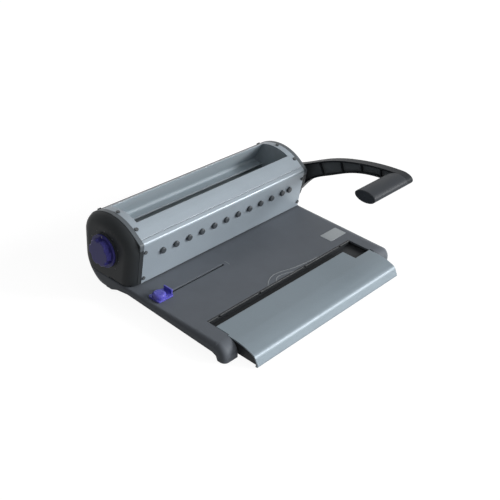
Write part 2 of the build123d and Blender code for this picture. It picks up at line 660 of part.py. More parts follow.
# ================================================================ size knob and its stop
KNOB_AXIS = (SHAFT_Y, KNOB_Z)
KNOB_FACE_X = LEFT_X - KNOB_PROUD
FLANGE_THICKNESS = 1.5
SKIRT_THICKNESS = 3.0
LIMIT_CAM = (8.0, 16.0)
LIMIT_CAM_X = (LEFT_X + 7, SHAFT_LEFT - 1)
STOP_RADIUS = 3.0
STOP_REACH = 17.0
stop_gap = LIMIT_CAM[1] + STOP_RADIUS + CLEAR
axis_gap = KNOB_Z - SHAFT_Z
stop_angle = degrees(asin((STOP_REACH ** 2 + axis_gap ** 2 - stop_gap ** 2)
                          / (2 * STOP_REACH * axis_gap)))
STOP_CENTRE = polar(SHAFT, STOP_REACH, stop_angle)
with BuildPart() as stop_pin:
    with BuildSketch(Plane.YZ.offset(SHAFT_LEFT)):
        with Locations(STOP_CENTRE):
            Circle(STOP_RADIUS)
    extrude(amount=LIMIT_CAM_X[0] - SHAFT_LEFT)
    chamfer(stop_pin.edges().group_by(Axis.X)[0], 0.6)
finish(stop_pin, "stop_pin")

with BuildPart() as knob_flange:
    with BuildSketch(Plane.YZ.offset(LEFT_X)):
        with Locations(KNOB_AXIS):
            Circle(KNOB_FLANGE / 2)
            Circle(5.5, mode=Mode.SUBTRACT)
    extrude(amount=-FLANGE_THICKNESS)
    chamfer(knob_flange.edges().group_by(Axis.X)[0].sort_by(SortBy.RADIUS)[-1], 0.6)
finish(knob_flange, "knob_flange")

KNOB_REAR_X = LEFT_X - FLANGE_THICKNESS - CLEAR
with BuildPart() as size_knob:
    with BuildSketch(Plane.YZ.offset(KNOB_REAR_X)):
        with Locations(KNOB_AXIS):
            Circle(KNOB_DIAMETER / 2)
            with PolarLocations(KNOB_DIAMETER / 2 + 4.5, 6, start_angle=30):
                Circle(7, mode=Mode.SUBTRACT)
    extrude(amount=KNOB_FACE_X - KNOB_REAR_X)
    chamfer(size_knob.faces().sort_by(Axis.X)[0].edges(), 1.0)
    with BuildSketch(Plane.YZ.offset(KNOB_REAR_X)):
        with Locations(KNOB_AXIS):
            Circle(KNOB_SKIRT / 2)
    extrude(amount=-SKIRT_THICKNESS)
    with BuildSketch(Plane.YZ.offset(KNOB_REAR_X)):
        with Locations(KNOB_AXIS):
            Circle(5)
    extrude(amount=-7, mode=Mode.SUBTRACT)
finish(size_knob, "size_knob")

with BuildPart() as knob_shaft:
    with BuildSketch(Plane.YZ.offset(KNOB_REAR_X - 7)):
        with Locations(KNOB_AXIS):
            Circle(5)
    extrude(amount=LIMIT_CAM_X[1] - KNOB_REAR_X + 7)
finish(knob_shaft, "knob_shaft")

limit_start = degrees(atan2(STOP_CENTRE[1] - KNOB_Z, STOP_CENTRE[0] - SHAFT_Y))
limit_points = [polar(KNOB_AXIS, LIMIT_CAM[1] - (LIMIT_CAM[1] - LIMIT_CAM[0]) * i / 9,
                      limit_start - 30 * i) for i in range(10)]
with BuildPart() as limit_cam:
    with BuildSketch(Plane.YZ.offset(LIMIT_CAM_X[0])):
        with BuildLine():
            Spline(limit_points)
            ThreePointArc(limit_points[-1], polar(KNOB_AXIS, 11, limit_start + 45),
                          limit_points[0])
        make_face()
        with Locations(KNOB_AXIS):
            Circle(5, mode=Mode.SUBTRACT)
    extrude(amount=LIMIT_CAM_X[1] - LIMIT_CAM_X[0])
finish(limit_cam, "limit_cam")

# ================================================================ wire closer
with BuildPart() as closer_bed:
    bed_x = (RECESS_X[0] - 3, RECESS_X[1] + 3)
    bed_y = (BAY_Y + 4.5, RECESS_Y + JAW_WIDTH + 2)
    put(bed_x, bed_y, (BED_FLOOR_Z - BED_THICKNESS, BED_FLOOR_Z))
    for wall in ((bed_x[0], bed_x[0] + BED_THICKNESS), (bed_x[1] - BED_THICKNESS, bed_x[1])):
        put(wall, bed_y, (BED_FLOOR_Z, DECK_Z - SHELL))
    put(bed_x, (bed_y[1] - BED_THICKNESS, bed_y[1]), (BED_FLOOR_Z, DECK_Z - SHELL))
finish(closer_bed, "closer_bed")

with BuildPart() as fixed_jaw:
    put(RECESS_X, (RECESS_Y, RECESS_Y + JAW_WIDTH), (BED_FLOOR_Z, DECK_Z))
    chamfer(fixed_jaw.edges().filter_by(Axis.X).sort_by(lambda e: e.center().Y - e.center().Z)[0],
            1.0)
    for notch in NOTCH_X:
        cut((notch - 2, notch + 2), (RECESS_Y - 1, RECESS_Y + 1.2), (DECK_Z - 3, DECK_Z + 1))
finish(fixed_jaw, "fixed_jaw")

# Middle line of the closer's sheet, from the jaw edge over the bent front to the lower lip.
SHEET_Z = DECK_Z - SHEET / 2
PLATE_MIDDLE = [(TONGUE_Y, SHEET_Z), (-121.1, SHEET_Z), (-136.9, SHEET_Z - 1.8),
                (-153.1, SHEET_Z - 6.8), (FRONT_Y + 0.25, 2.5), (-156.0, 2.5)]
PLATE_BENDS = (60.0, 60.0, 10.0, 1.2)
with BuildPart() as closer_plate:
    with BuildSketch(Plane.YZ.offset(PLATE_X[0])):
        add(bent_sheet(PLATE_MIDDLE, PLATE_BENDS, SHEET))
    extrude(amount=PLATE_X[1] - PLATE_X[0])
    cut((PLATE_X[0] - 1, TONGUE_X[0]), (PLATE_Y, 0), (0, DECK_Z + 1))
    cut((TONGUE_X[1], PLATE_X[1] + 1), (PLATE_Y, 0), (0, DECK_Z + 1))
finish(closer_plate, "closer_plate")

CARRIER_PROFILE = [(-92, 9), (-92, 13), (-103, 13), (-107, 21.9), (-121, 21.8), (-136.6, 19.8),
                   (-141.5, 18.4), (-141.5, 9)]
END_PROFILE = [(PLATE_Y - 1, 21.5), (-121, 21.4), (-136.6, 19.4), (-148.6, 15.8), (-151.5, 14.2),
               (-153.6, 11.7), (-156.9, 5.0), (PLATE_Y - 1, 5.0)]
END_X = ((PLATE_X[0] + CLEAR, PLATE_X[0] + 4), (PLATE_X[1] - 4, PLATE_X[1] - CLEAR))
with BuildPart() as closer_ends:
    for end in END_X:
        with BuildSketch(Plane.YZ.offset(end[0])):
            with BuildLine():
                Polyline(*END_PROFILE, close=True)
            make_face()
        extrude(amount=end[1] - end[0])
finish(closer_ends, "closer_ends")

with BuildPart() as closer_carrier:
    for x in (-158, -110, -62, -14, 34, 82, 136):
        with BuildSketch(Plane.YZ.offset(x)):
            with BuildLine():
                Polyline(*CARRIER_PROFILE, close=True)
            make_face()
        extrude(amount=4)
    put((-158, 140), (-141.5, -92), (9, 11))
finish(closer_carrier, "closer_carrier")

ROD_X = (CLOSING_CAM_X - ROD_THICKNESS / 2, CLOSING_CAM_X + ROD_THICKNESS / 2)
ROD_NOSE = (SHAFT_Y + CLOSING_CAM[1] + 2 * CLEAR + ROLLER_RADIUS, SHAFT_Z)
ROD_END_Y = 126.0
FOLLOWER_OUTLINE = [(ROD_END_Y, ROD_Z[0]), (ROD_END_Y, ROD_Z[1]), (ROD_NOSE[0] - 1.0, 25.0),
                    (ROD_NOSE[0] - 1.0, SHAFT_Z + 5), (ROD_NOSE[0] + 2.2, SHAFT_Z + 5),
                    (ROD_NOSE[0] + 2.2, 24.0), (ROD_END_Y + 3, ROD_Z[0])]
with BuildPart() as closer_crossbar:
    put((-ROD_X[1], ROD_X[1]), (-92, -82), ROD_Z)
finish(closer_crossbar, "closer_crossbar")

with BuildPart() as push_rods:
    for rod_x in (ROD_X, mirrored(ROD_X)):
        put(rod_x, (-82, ROD_END_Y), ROD_Z)
finish(push_rods, "push_rods")

# Upright ends of the push rods, with the round noses that the closing cams press back.
with BuildPart() as rod_followers:
    for rod_x in (ROD_X, mirrored(ROD_X)):
        with BuildSketch(Plane.YZ.offset(rod_x[0])):
            with BuildLine():
                Polyline(*FOLLOWER_OUTLINE, close=True)
            make_face()
            with Locations(ROD_NOSE):
                Circle(ROLLER_RADIUS)
        extrude(amount=ROD_THICKNESS)
finish(rod_followers, "rod_followers")

# ================================================================ edge guide
GUIDE_Z = DECK_Z + CLEAR
GUIDE_FOOT_X = (-180.5, -170.5)
with BuildPart() as edge_guide:
    put((-183, -155), (6.5, 28.5), (GUIDE_Z, GUIDE_Z + 2.5))
    fillet(edge_guide.edges().filter_by(Axis.Z), 3)
    put((-157, -155), (9.5, 25.5), (GUIDE_Z, 33.5))
    with BuildSketch(Plane.XY.offset(GUIDE_Z)):
        with Locations((-173.5, SLOT_Y)):
            Circle(9.5)
    extrude(amount=9.4)
    fillet(edge_guide.faces().sort_by(Axis.Z)[-1].edges(), 3.5)
    with BuildSketch(Plane.XY.offset(DECK_Z - SHELL - CLEAR)):
        with Locations((sum(GUIDE_FOOT_X) / 2, SLOT_Y)):
            SlotOverall(GUIDE_FOOT_X[1] - GUIDE_FOOT_X[0], SLOT_WIDTH - 2 * CLEAR)
    extrude(amount=SHELL + 2 * CLEAR)
finish(edge_guide, "edge_guide")

with BuildPart() as guide_clamp:
    put((-184, -167), (SLOT_Y - 7, SLOT_Y + 7), (DECK_Z - SHELL - CLEAR - 2, DECK_Z - SHELL - CLEAR))
    fillet(guide_clamp.edges().filter_by(Axis.Z), 3)
finish(guide_clamp, "guide_clamp")

# ================================================================ pull pins
COLLAR_FACE = -(WALL + PULL_PIN_TRAVEL + CLEAR)
for number, x in enumerate(PULL_PIN_X, 1):
    with BuildPart() as pull_pin:
        for start, length, diameter in ((CLEAR, HEAD_PROUD, PULL_PIN_HEAD),
                                        (CLEAR, COLLAR_FACE - CLEAR, PULL_PIN_STEM),
                                        (COLLAR_FACE, -1.5, PULL_PIN_COLLAR)):
            with BuildSketch(PANEL_PLANE.offset(start)):
                with Locations((x, PULL_PIN_UP)):
                    Circle(diameter / 2)
            extrude(amount=length)
        chamfer(pull_pin.edges().filter_by(GeomType.CIRCLE).sort_by(Axis.Y)[0], 0.9)
    finish(pull_pin, f"pull_pin_{number:02d}")

# ================================================================ lever
ARM_TOP = [(100, 80), (73.5, 89), (45.5, 103), (7.5, 120), (-30.5, 131), (-67.5, 138),
           (GRIP_CENTRE[0], GRIP_CENTRE[1] + GRIP_SECTION[1] / 2)]
ARM_BOTTOM = [(73.5, 41), (59.5, 59.5), (49.5, 70), (30.5, 83), (10.5, 93), (-26.5, 111),
              (-62.5, 121), (GRIP_CENTRE[0], GRIP_CENTRE[1] - GRIP_SECTION[1] / 2)]
ARM_RIBS = [((30, 97), 60), ((-8, 114), 66), ((-45, 124), 72), ((-80, 130), 80)]
HUB_X = (RIGHT_X + 1.5, RIGHT_X + 15)
HUB_BOSS = 13.0
LEVER_PLATE = (4.0, 7.0)     # the steel plate lies between these depths in the arm


def shifted(points, amount):
    """Points of an edge moved square to it, towards the right of its direction."""
    moved = []
    for i, (y, z) in enumerate(points):
        before = points[max(i - 1, 0)]
        after = points[min(i + 1, len(points) - 1)]
        run = (after[0] - before[0], after[1] - before[1])
        length = sqrt(run[0] ** 2 + run[1] ** 2)
        moved.append((y + amount * run[1] / length, z - amount * run[0] / length))
    return moved


def arm_outline(inset=0.0):
    """Side view of the lever's arm with the end of the grip."""
    with BuildSketch() as outline:
        with BuildLine():
            top = Spline(shifted(ARM_TOP, -inset))
            bottom = Spline(shifted(ARM_BOTTOM, inset))
            Line(top @ 0, bottom @ 0)
            Line(top @ 1, bottom @ 1)
        make_face()
        with Locations(GRIP_CENTRE):
            Ellipse(GRIP_SECTION[0] / 2 - inset, GRIP_SECTION[1] / 2 - inset)
    return outline.sketch


with BuildPart() as lever_arm:
    with BuildSketch(Plane.YZ.offset(ARM_X[0])):
        add(arm_outline())
    extrude(amount=ARM_X[1] - ARM_X[0])
    chamfer(lever_arm.faces().sort_by(Axis.X)[-1].edges(), 1.5)
    with BuildSketch(Plane.YZ.offset(HUB_X[0])):
        with Locations(SHAFT):
            Circle(HUB_RADIUS)
    extrude(amount=HUB_X[1] - HUB_X[0])
    with BuildSketch(Plane.YZ.offset(ARM_X[0])):
        add(arm_outline(WALL))
    extrude(amount=ARM_X[1] - ARM_X[0] - WALL, mode=Mode.SUBTRACT)
    with BuildSketch(Plane.YZ.offset(HUB_X[0])):
        with Locations(SHAFT):
            Circle(HUB_RADIUS - WALL)
    extrude(amount=HUB_X[1] - HUB_X[0] - WALL, mode=Mode.SUBTRACT)
    with BuildSketch(Plane.YZ.offset(ARM_X[0] + LEVER_PLATE[0])):
        for centre, angle in ARM_RIBS:
            with Locations(Location((*centre, 0), (0, 0, angle))):
                Rectangle(50, 2)
        add(arm_outline(), mode=Mode.INTERSECT)
    extrude(amount=0.6 - LEVER_PLATE[0])
    with BuildSketch(Plane.YZ.offset(HUB_X[0])):
        with Locations(SHAFT):
            Circle(HUB_BOSS)
    extrude(amount=HUB_X[1] - HUB_X[0] - WALL)
    with BuildSketch(Plane.YZ.offset(HUB_X[0])):
        with Locations(SHAFT):
            Circle(SHAFT_DIAMETER / 2)
    extrude(amount=HUB_X[1] - HUB_X[0], mode=Mode.SUBTRACT)
finish(lever_arm, "lever_arm")

# Steel plate that stiffens the arm and closes its hollow side.
with BuildPart() as lever_plate:
    with BuildSketch(Plane.YZ.offset(ARM_X[0] + LEVER_PLATE[0])):
        add(arm_outline(WALL + FIT))
        with Locations(SHAFT):
            Circle(HUB_RADIUS - WALL - FIT)
            Circle(HUB_BOSS + FIT, mode=Mode.SUBTRACT)
    extrude(amount=LEVER_PLATE[1] - LEVER_PLATE[0])
finish(lever_plate, "lever_plate")

with BuildPart() as grip:
    with BuildSketch(Plane.YZ.offset(GRIP_X)):
        with Locations(GRIP_CENTRE):
            Ellipse(GRIP_SECTION[0] / 2, GRIP_SECTION[1] / 2)
    extrude(amount=ARM_X[0] - GRIP_X)
    chamfer(grip.faces().sort_by(Axis.X)[0].edges(), 0.8)
    with BuildSketch(Plane.YZ.offset(GRIP_X + WALL)):
        with Locations(GRIP_CENTRE):
            Ellipse(GRIP_SECTION[0] / 2 - WALL, GRIP_SECTION[1] / 2 - WALL)
    extrude(amount=ARM_X[0] - GRIP_X - WALL, mode=Mode.SUBTRACT)
finish(grip, "grip")

with BuildPart() as hub_screw:
    with BuildSketch(Plane.YZ.offset(RIGHT_X + 12)):
        with Locations(SHAFT):
            Circle(SHAFT_DIAMETER / 2)
    extrude(amount=HUB_X[1] - RIGHT_X - 12)
    with BuildSketch(Plane.YZ.offset(HUB_X[1])):
        with Locations(SHAFT):
            Circle(9)
    extrude(amount=3)
    chamfer(hub_screw.edges().group_by(Axis.X)[-1], 1.2)
finish(hub_screw, "hub_screw")

# ================================================================ chip tray
with BuildPart() as chip_tray:
    for inset in (0, 2):
        with BuildPart(mode=Mode.PRIVATE) as tray_form:
            put((CHIP_X[0] + CLEAR + inset, CHIP_X[1] - CLEAR - inset),
                (UNIT_Y[0] + 1 + inset, REAR_Y), (PAN_TOP + 0.5 + inset, CHIP_TOP_Z + inset))
            add(base_form(inset), mode=Mode.INTERSECT)
        add(tray_form.part, mode=Mode.SUBTRACT if inset else Mode.ADD)
    cut(CHIP_X, (UNIT_Y[0], UNIT_Y[1] + 2), (DECK_Z - DIE_THICKNESS - 0.5, CHIP_TOP_Z + 1))
    put((-18, 18), (138, 149), (PAN_TOP + 0.5, PAN_TOP + 2.5))
finish(chip_tray, "chip_tray")
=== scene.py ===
"""Finishes, small fittings, stage and camera of a manual punch and wire closing machine."""

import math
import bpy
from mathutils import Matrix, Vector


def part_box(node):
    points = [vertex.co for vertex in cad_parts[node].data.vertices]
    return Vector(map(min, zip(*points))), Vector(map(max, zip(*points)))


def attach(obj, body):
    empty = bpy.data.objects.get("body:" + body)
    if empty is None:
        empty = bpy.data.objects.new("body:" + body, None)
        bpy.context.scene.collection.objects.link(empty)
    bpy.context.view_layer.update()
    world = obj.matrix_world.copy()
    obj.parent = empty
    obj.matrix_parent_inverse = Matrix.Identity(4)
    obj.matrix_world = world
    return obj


bl_info = {
    "name": "Punch and Wire Closing Machine",
    "version": (1, 0, 0),
    "blender": (4, 5, 0),
    "location": "3D View > Sidebar > Machine",
    "description": "Dresses the machine's frame with its finishes and fittings and sets up its stage",
    "category": "Object",
}

import bmesh
import bpy
from bpy.props import FloatProperty, FloatVectorProperty, IntProperty, PointerProperty
from mathutils import Matrix, Vector

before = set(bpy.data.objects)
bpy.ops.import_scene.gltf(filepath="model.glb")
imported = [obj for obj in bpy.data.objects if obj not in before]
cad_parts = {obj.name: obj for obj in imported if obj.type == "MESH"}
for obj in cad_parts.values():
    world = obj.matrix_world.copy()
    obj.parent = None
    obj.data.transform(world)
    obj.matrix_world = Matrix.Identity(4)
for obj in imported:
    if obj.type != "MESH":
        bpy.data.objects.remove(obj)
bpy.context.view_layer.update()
MM = 0.001
DECK_TOP = 24.0 * MM
KNOB_LOW, KNOB_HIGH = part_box("size_knob")
KNOB_MIDDLE = (KNOB_LOW + KNOB_HIGH) / 2

# repeats of the textures per metre
GRAIN_CLOUD, GRAIN_SPECK = 38.0, 420.0
RUBBED_PATCH = 160.0
PAINT_FLAKE, PAINT_PEEL, PAINT_FILM = 2600.0, 620.0, 26.0
STEEL_LINE, STEEL_CLOUD = 1800.0, 70.0
RUBBER_GRAIN, PAN_GRAIN, INK_GRAIN = 900.0, 700.0, 1200.0

# how the textures and the small fittings stand on the surface under them
RELIEF_DEPTH = 0.1 * MM
BOSS_ROOT = 0.2 * MM      # how far a boss reaches below that surface
BOSS_DRAFT = 0.3          # slope of its sides, as a share of its height
RIDGE_ROOT = 0.1 * MM     # how far a ridge reaches below it
RIDGE_END = 0.25          # a ridge runs out to this share of its size
RIDGE_TAPER = 2           # over so many points at either end
RIDGE_SIDES = 6
LABEL_CORNER = 1.5 * MM
INK_CORNER = 0.2 * MM
POINTER_CORNER = 0.6 * MM

FLOOR_HALF = 6.0
SENSOR_WIDTH = 36.0       # in mm, as lenses are given
VIEW_DEPTH = 50.0

# finger rim beside the closing jaws, corners of its two lines in mm; the rim's lighter colour is a
# painted highlight along the edge of the finger scoop and the recess chamfer
RIM_OUTER = [(-42, -66), (-30, -57), (-15, -52), (0, -53.5), (20, -59), (45, -62.5), (75, -65)]
RIM_INNER = [(-24, -66), (-16, -60), (-5, -59.5), (8, -63), (15, -66)]


# ------------------------------------------------------------------ settings
def colour(name, description, default):
    return FloatVectorProperty(name=name, description=description, default=default,
                               subtype="COLOR", size=3, min=0.0, max=1.0)


def length(name, description, default):
    return FloatProperty(name=name, description=description, default=default,
                         unit="LENGTH", precision=5)


class MachineFinish(bpy.types.PropertyGroup):
    """Colours and surface sizes of the finishes."""

    deck: colour("Deck", "Moulded base and sheet table", (0.128, 0.142, 0.162))
    cap: colour("End caps", "Moulded end caps and rear casing", (0.034, 0.038, 0.041))
    trim: colour("Trim", "Rings between caps and panels", (0.100, 0.115, 0.128))
    panel: colour("Panels", "Silver paint of the hood", (0.312, 0.364, 0.410))
    tray: colour("Tray", "Dull silver paint of the wire tray", (0.390, 0.450, 0.490))
    closer: colour("Closer", "Silver paint of the closer plate", (0.232, 0.285, 0.325))
    lever: colour("Lever", "Moulded lever arm with its hub", (0.022, 0.025, 0.029))
    grip: colour("Grip", "Moulded cross grip", (0.010, 0.014, 0.020))
    knob: colour("Size knob", "Violet moulding of the knob", (0.064, 0.060, 0.260))
    guide: colour("Edge guide", "Violet moulding of the guide", (0.105, 0.098, 0.500))
    pin: colour("Pull pins", "Moulded heads of the pull pins", (0.050, 0.058, 0.066))
    label: colour("Label", "Bare label on the deck", (0.34, 0.37, 0.39))
    steel: colour("Steel", "Machined steel of the mechanism", (0.55, 0.55, 0.56))
    coating: colour("Coating", "Dark coated steel", (0.028, 0.031, 0.034))
    plate: colour("Lever plate", "Coated plate inside the lever", (0.135, 0.145, 0.152))
    screw: colour("Panel screws", "Coated heads of the panel screws", (0.085, 0.093, 0.098))
    zinc: colour("Zinc", "Zinc-coated sheet inside the trough", (0.36, 0.40, 0.43))
    brass: colour("Brass", "Bushes of the lever shaft", (0.62, 0.47, 0.22))
    rubber: colour("Rubber", "Feet", (0.022, 0.022, 0.022))
    # the deck marks are lighter than the deck; on the finger rim this is a painted highlight along
    # the scoop's edge and the recess chamfer
    mark: colour("Deck marks", "Moulded lines on the deck", (0.21, 0.225, 0.235))
    ink: colour("Dial ink", "Marks around the size knob", (0.16, 0.17, 0.18))
    pointer: colour("Pointer ink", "Pointer on the size knob", (0.42, 0.42, 0.46))
    edge_radius: length("Edge radius", "Softening of the moulded edges", 0.0007)
    grain: FloatProperty(name="Grain", description="Grains of the moulded texture per metre",
                         default=1500.0, min=100.0)


class MachineFittings(bpy.types.PropertyGroup):
    """Sizes and places of the small fittings."""

    label_place: FloatVectorProperty(name="Label place", description="Middle of the label",
                                     default=(0.1422, -0.0395), size=2, subtype="XYZ",
                                     unit="LENGTH")
    label_width: length("Label width", "Along the machine", 0.0385)
    label_depth: length("Label depth", "Across the deck", 0.0220)
    label_height: length("Label height", "Thickness of the label", 0.0003)
    mark_x: length("End mark", "Place of the mark at the end of the slot", -0.0398)
    mark_from: length("End mark start", "Its end towards the hood", 0.0224)
    mark_length: length("End mark length", "Across the deck", 0.0126)
    mark_width: length("Mark width", "Width of moulded lines on the deck", 0.0014)
    mark_height: length("Mark height", "Height of the end mark", 0.0002)
    rim_height: length("Rim height", "Height of the finger rim", 0.00025)
    rim_shift: FloatProperty(name="Rim shift", description="Moves the finger rim, in mm",
                             default=0.0)
    dial_radius: length("Dial radius", "Inner ends of the marks around the knob", 0.0285)
    dial_marks: IntProperty(name="Dial marks", description="Marks around the size knob",
                            default=9, min=2, max=24)
    dial_sweep: FloatProperty(name="Dial sweep", description="From the first mark to the last",
                              default=math.radians(270), subtype="ANGLE")
    long_mark: length("Long mark", "Length of every other mark", 0.0026)
    short_mark: length("Short mark", "Length of the marks between them", 0.0016)
    ink_width: length("Ink width", "Width of the marks", 0.0006)
    ink_height: length("Ink height", "Thickness of the marks", 0.00008)
    skirt_drop: length("Skirt drop", "From the knob's face down to its skirt", 0.0082)
    pointer_radius: length("Pointer radius", "From the knob's axis to the pointer", 0.0223)
    pointer_length: length("Pointer length", "Along the radius", 0.0032)
    pointer_width: length("Pointer width", "Across the radius", 0.0015)
    pointer_height: length("Pointer height", "Thickness of the pointer", 0.0003)


class MachineStage(bpy.types.PropertyGroup):
    """Light, floor and camera."""

    sky: FloatProperty(name="Sky", description="Mean strength of the soft light from all around",
                       default=0.19, min=0.0)
    sky_swing: FloatProperty(name="Sky swing", description="How much stronger it is on one side",
                             default=0.17, min=0.0)
    sky_from: FloatVectorProperty(name="Sky direction", description="Where it is strongest",
                                  default=(0.62, -0.40, 0.68), subtype="DIRECTION")
    key: FloatProperty(name="Key light", description="Strength of the broad light at the right",
                       default=2.45, min=0.0)
    key_spread: FloatProperty(name="Key spread", description="Apparent size of the key light",
                              default=math.radians(50), subtype="ANGLE")
    key_from: FloatVectorProperty(name="Key direction", description="Towards the key light",
                                  default=(0.40, -0.90, 0.13), subtype="DIRECTION")
    glint: FloatProperty(name="Glint light", description="Strength of the narrow light on edges",
                         default=2.0, min=0.0)
    glint_spread: FloatProperty(name="Glint spread", description="Apparent size of the glint",
                                default=math.radians(18), subtype="ANGLE")
    glint_from: FloatVectorProperty(name="Glint direction", description="Towards the glint",
                                    default=(0.646, -0.650, 0.400), subtype="DIRECTION")
    floor: FloatProperty(name="Floor", description="Shade of the floor that the object sees",
                         default=0.18, min=0.0, max=1.0)
    glow: FloatProperty(name="Floor glow", description="Adds to the floor up to white",
                        default=0.92, min=0.0)
    camera_place: FloatVectorProperty(name="Camera place", description="Where the camera stands",
                                      default=(-0.8291, -0.7054, 0.7042), subtype="XYZ",
                                      unit="LENGTH")
    camera_turn: FloatProperty(name="Camera turn", description="Heading of the camera",
                               default=math.radians(49.307), subtype="ANGLE")
    camera_dip: FloatProperty(name="Camera dip", description="How far the camera looks down",
                              default=math.radians(31.535), subtype="ANGLE")
    camera_roll: FloatProperty(name="Camera roll", description="Turn about the line of sight",
                               default=math.radians(3.596), subtype="ANGLE")
    camera_lens: FloatProperty(name="Lens", description="Focal length in mm",
                               default=62.19, unit="CAMERA")


# ------------------------------------------------------------------ node trees
class Board:
    """Adds nodes to one node tree and joins them."""

    def __init__(self, tree):
        self.tree = tree

    def add(self, kind, **settings):
        node = self.tree.nodes.new(kind)
        for name, value in settings.items():
            setattr(node, name, value)
        return node

    def join(self, source, target):
        self.tree.links.new(source, target)

    def feed(self, node, **values):
        for name, value in values.items():
            socket = node.inputs[name.replace("_", " ")]
            if isinstance(value, bpy.types.NodeSocket):
                self.join(value, socket)
            else:
                socket.default_value = value
        return node

    def noise(self, place, scale, detail, roughness):
        node = self.add("ShaderNodeTexNoise")
        self.feed(node, Vector=place, Scale=scale, Detail=detail, Roughness=roughness)
        return node.outputs["Fac"]

    def spread(self, value, low, high, start=0.0, end=1.0):
        """Maps low..high of a value to start..end."""
        node = self.add("ShaderNodeMapRange")
        self.feed(node, Value=value, From_Min=low, From_Max=high, To_Min=start, To_Max=end)
        return node.outputs["Result"]

    def maths(self, operation, first, second):
        node = self.add("ShaderNodeMath", operation=operation)
        for socket, value in zip(node.inputs, (first, second)):
            if isinstance(value, bpy.types.NodeSocket):
                self.join(value, socket)
            else:
                socket.default_value = value
        return node.outputs[0]

    def weighed(self, first, share, second, other_share):
        """The sum of two values, each times its share."""
        return self.maths("ADD", self.maths("MULTIPLY", first, share),
                          self.maths("MULTIPLY", second, other_share))

    def blend(self, factor, first, second):
        """A colour between two others."""
        node = self.add("ShaderNodeMix", data_type="RGBA")
        self.feed(node, Factor=factor, A=first, B=second)
        return node.outputs["Result"]

    def dot(self, first):
        """A dot product whose second vector is still to be given."""
        node = self.add("ShaderNodeVectorMath", operation="DOT_PRODUCT")
        self.join(first, node.inputs[0])
        return node.inputs[1], node.outputs["Value"]

    def object_place(self):
        return self.add("ShaderNodeTexCoord").outputs["Object"]

    def seen(self):
        """1 for what the camera, a reflection or glass sees, 0 for the light that surfaces get."""
        path = self.add("ShaderNodeLightPath").outputs
        return self.maths("MAXIMUM", path["Is Camera Ray"],
                          self.maths("MAXIMUM", path["Is Glossy Ray"],
                                     path["Is Transmission Ray"]))


def effect(name, inputs, outputs):
    """A new shader node group; returns its board, inputs and outputs."""
    tree = bpy.data.node_groups.new(name, "ShaderNodeTree")
    for label, kind, value in inputs:
        socket = tree.interface.new_socket(label, in_out="INPUT", socket_type=kind)
        socket.default_value = value
    for label, kind in outputs:
        tree.interface.new_socket(label, in_out="OUTPUT", socket_type=kind)
    board = Board(tree)
    return board, board.add("NodeGroupInput").outputs, board.add("NodeGroupOutput").inputs


def surface_effect(name, smooth, rough, *more):
    """A group that puts out a texture's height, roughness and shade."""
    return effect(
        name,
        (("Smooth", "NodeSocketFloat", smooth), ("Rough", "NodeSocketFloat", rough), *more),
        (("Height", "NodeSocketFloat"), ("Roughness", "NodeSocketFloat"),
         ("Shade", "NodeSocketFloat")))


def moulded_grain():
    """Fine spark-eroded texture of a moulding, with slow changes of gloss and shade."""
    board, given, put = surface_effect("Moulded Grain", 0.35, 0.5,
                                       ("Scale", "NodeSocketFloat", 1500.0))
    place = board.object_place()
    fine = board.noise(place, given["Scale"], detail=3.0, roughness=0.6)
    cloud = board.noise(place, GRAIN_CLOUD, detail=3.0, roughness=0.55)
    speck = board.noise(place, GRAIN_SPECK, detail=2.0, roughness=0.5)
    gloss = board.maths("ADD", cloud, board.maths("MULTIPLY", speck, 0.25))
    board.join(fine, put["Height"])
    board.join(board.spread(gloss, 0.35, 0.95, given["Smooth"], given["Rough"]), put["Roughness"])
    board.join(board.spread(board.weighed(cloud, 0.7, fine, 0.3), 0.3, 0.7), put["Shade"])
    return board.tree


def eased_edges():
    """Small radius on sharp edges, and a mask of where handling has rubbed them."""
    board, given, put = effect(
        "Eased Edges",
        (("Radius", "NodeSocketFloat", 0.0007),),
        (("Normal", "NodeSocketVector"), ("Rubbed", "NodeSocketFloat")))
    bevel = board.add("ShaderNodeBevel", samples=6)
    board.join(given["Radius"], bevel.inputs["Radius"])
    board.join(bevel.outputs["Normal"], put["Normal"])
    flat, likeness = board.dot(bevel.outputs["Normal"])
    board.join(board.add("ShaderNodeNewGeometry").outputs["Normal"], flat)
    patch = board.noise(board.object_place(), RUBBED_PATCH, detail=4.0, roughness=0.7)
    edge = board.spread(likeness, 0.995, 0.90)
    board.join(board.maths("MULTIPLY", edge, board.spread(patch, 0.42, 0.66)), put["Rubbed"])
    return board.tree


def paint_flake():
    """Metal flake and orange peel of a silver paint, with a faint film of handling."""
    board, given, put = surface_effect("Paint Flake", 0.3, 0.42)
    place = board.object_place()
    flake = board.add("ShaderNodeTexVoronoi", feature="F1")
    board.feed(flake, Vector=place, Scale=PAINT_FLAKE)
    tone = board.add("ShaderNodeSeparateColor")
    board.join(flake.outputs["Color"], tone.inputs["Color"])
    peel = board.noise(place, PAINT_PEEL, detail=2.0, roughness=0.5)
    film = board.noise(place, PAINT_FILM, detail=4.0, roughness=0.6)
    board.join(peel, put["Height"])
    board.join(board.spread(film, 0.35, 0.68, given["Smooth"], given["Rough"]), put["Roughness"])
    shade = board.weighed(tone.outputs["Red"], 0.45, film, 0.55)
    board.join(board.spread(shade, 0.25, 0.75), put["Shade"])
    return board.tree


def tool_lines():
    """Fine lines that cutting and grinding leave on steel."""
    board, given, put = surface_effect("Tool Lines", 0.25, 0.45)
    place = board.object_place()
    drawn = board.add("ShaderNodeMapping")
    board.feed(drawn, Vector=place, Scale=(0.04, 1.0, 1.0))
    lines = board.noise(drawn.outputs["Vector"], STEEL_LINE, detail=3.0, roughness=0.6)
    cloud = board.noise(place, STEEL_CLOUD, detail=3.0, roughness=0.6)
    board.join(lines, put["Height"])
    board.join(board.spread(lines, 0.3, 0.7, given["Smooth"], given["Rough"]), put["Roughness"])
    board.join(board.spread(board.maths("ADD", lines, cloud), 0.7, 1.3), put["Shade"])
    return board.tree


